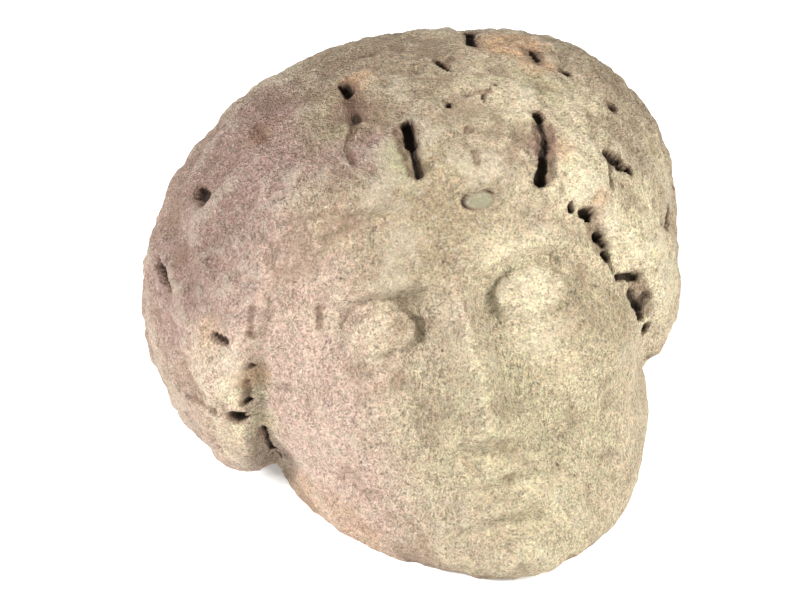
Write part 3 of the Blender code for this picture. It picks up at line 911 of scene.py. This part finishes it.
def sandstone():
    """Coarse sandstone: a buff ground under staining, some painted light and the left side's painted
    shade, times grain at three sizes whose tone is also painted shade where the bump relief is low, then
    crystals, specks and spots in chosen cells, painted shade in low places and painted highlight on high
    ones, the pebble, and grime and painted shade that darken with depth."""
    paint = Paint("weathered_sandstone")
    where = paint.node("ShaderNodeTexCoord", {}, output=3)
    hollow = paint.attribute("hollow")
    pebble = paint.attribute("pebble")
    worn = paint.attribute("worn")

    patch = paint.noise(where, PATCH_SIZE, 5.0, 0.62)
    mottle = paint.noise(where, MOTTLE_SIZE, 4.0, 0.65)
    tint = paint.noise(where, TINT_SIZE, 3.0, 0.6).step(0.38, 0.62)
    sugar = paint.noise(where, SUGAR_SIZE, 5.0, 0.68)
    grain = paint.noise(where, GRAIN_SIZE, 3.0, 0.8).step_straight(0.27, 0.73)
    fine = paint.noise(where, FINE_SIZE, 2.0, 0.7).step_straight(0.30, 0.70)

    colour = paint.mix(patch.step(0.35, 0.68), COLOURS["ground"], COLOURS["pale_ground"])
    # Each staining colour, and the painted shade on the left side, laid over the ground by its share.
    for kind, overlay_colour in STAIN_AND_SHADE_COLOURS.items():
        share = paint.attribute(kind) * (0.45 + patch * 0.6 + mottle * 0.5)
        colour = paint.mix(share.clamped(), colour, overlay_colour)
    mottled = (
        (mottle.step(0.60, 0.76) * 0.30, "warm_mottle"),
        (mottle.step(0.44, 0.28) * 0.30, "dark_mottle"),
    )
    colour = paint.layered(colour, mottled)

    tints = paint.mix(tint, COLOURS["pink_tint"], COLOURS["green_tint"])
    colour = paint.mix(0.5, colour, tints, "MULTIPLY")
    # Grain tone, partly real and partly painted shade: the same noises raise the bump relief below, so the
    # colour darkens where the relief is low.
    grain_tone_and_shade = 0.06 + sugar.step_straight(0.30, 0.70) * 0.50 + grain * 0.50 + fine * 0.75
    colour = paint.mix(1.0, colour, grain_tone_and_shade, "MULTIPLY")
    lot = paint.cell_lot(where, CRYSTAL_SIZE)
    crystal = lot.step(0.88, 0.93)
    spot = paint.from_cell(where, SPOT_SIZE).step(0.12, 0.07)
    spotted = paint.cell_lot(where, SPOT_SIZE).step(0.84, 0.88)
    finished = (
        (crystal * 0.18, "crystal"),
        (lot.step(0.10, 0.05) * 0.35, "speck"),
        (spot * spotted * 0.75, "spot"),
        # Painted shade in low places of the wear and painted highlight on high ones.
        (worn.step(0.45, 0.05) * 0.45, "painted_shade_low"),
        (worn.step(0.60, 0.95) * 0.25, "painted_highlight_high"),
        (pebble * 0.8, "pebble"),
        # Grime and painted shade in the drill marks and the gap round the pebble, darker with depth.
        (hollow.step(0.05, 0.45) * 0.6, "grime_and_painted_shade"),
        (hollow.step(0.40, 0.90) * 0.94, "deep_grime_and_painted_shade"),
    )
    colour = paint.layered(colour, finished)

    paint.fill(paint.shader.inputs["Base Color"], colour)
    paint.fill(paint.shader.inputs["Roughness"], 0.93 - crystal * 0.35 - pebble * 0.12)
    paint.shader.inputs["Specular IOR Level"].default_value = 0.3
    height = (sugar + grain * 0.30 + fine * 0.15) * (1 - pebble * 0.6)
    normal = paint.node("ShaderNodeBump", {}, Strength=1.0, Distance=RELIEF_HEIGHT, Height=height)
    paint.fill(paint.shader.inputs["Normal"], normal)
    return paint.material


def plain(name, colour, roughness, glow):
    """A material of one colour that also gives off a little of it."""
    paint = Paint(name)
    paint.shader.inputs["Emission Color"].default_value = colour
    paint.shader.inputs["Emission Strength"].default_value = glow
    paint.shader.inputs["Base Color"].default_value = colour
    paint.shader.inputs["Roughness"].default_value = roughness
    return paint.material


def add(name, data):
    """A new object with this data, in the scene."""
    thing = bpy.data.objects.new(name, data)
    bpy.context.scene.collection.objects.link(thing)
    return thing


def aim(thing, place, target):
    """Puts a camera or light at a place, looking at a target."""
    thing.location = place
    thing.rotation_euler = (Vector(target) - Vector(place)).to_track_quat("-Z", "Y").to_euler()


def soft_light(name, place, target, size, power, colour):
    """A square light at a place, turned to its target."""
    lamp = bpy.data.lights.new(name, "AREA")
    lamp.shape = "SQUARE"
    lamp.size = size
    lamp.energy = power
    lamp.color = colour
    aim(add(name, lamp), place, target)


def studio(middle):
    """A pale floor, even light from the sky, and a soft light on either side."""
    mesh = bpy.data.meshes.new("floor")
    corners = [(x * FLOOR_HALF, y * FLOOR_HALF, 0) for x, y in ((-1, -1), (1, -1), (1, 1), (-1, 1))]
    mesh.from_pydata(corners, [], [(0, 1, 2, 3)])
    mesh.materials.append(plain("floor_white", FLOOR_COLOUR, 0.8, FLOOR_GLOW))
    floor = add("floor", mesh)
    world = bpy.data.worlds.new("even_light")
    world.use_nodes = True
    world.node_tree.nodes["Background"].inputs["Color"].default_value = (1, 1, 1, 1)
    world.node_tree.nodes["Background"].inputs["Strength"].default_value = SKY_STRENGTH
    bpy.context.scene.world = world
    for name, place, size, power, colour in LIGHTS:
        soft_light(name, place, middle, size, power, colour)
    bpy.context.scene.view_settings.view_transform = "Standard"


def photograph_view(middle):
    """A camera that looks at the skull's middle from the photograph's height and distance."""
    lens = bpy.data.cameras.new("camera")
    lens.lens = LENS
    lens.sensor_width = SENSOR
    camera = add("camera", lens)
    tilt = math.radians(VIEW_HEIGHT)
    target = Vector(middle) + Vector((VIEW_ASIDE, 0, 0))
    distance = PHOTO_WIDTH * PIXEL * LENS / SENSOR
    away = Vector((0, -math.cos(tilt), math.sin(tilt)))
    aim(camera, target + away * distance, target)
    bpy.context.scene.camera = camera


def stone_piece():
    """The whole stone, in the solid's place."""
    mesh = make_mesh("stone", *stone_surface())
    mesh.materials.append(sandstone())
    piece = add("sandstone_head_carved", mesh)
    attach(piece, "root")
    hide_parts(NODE)


stone_piece()
skull_middle = set_down(np.zeros((1, 3)))[0]
studio(skull_middle)
photograph_view(skull_middle)
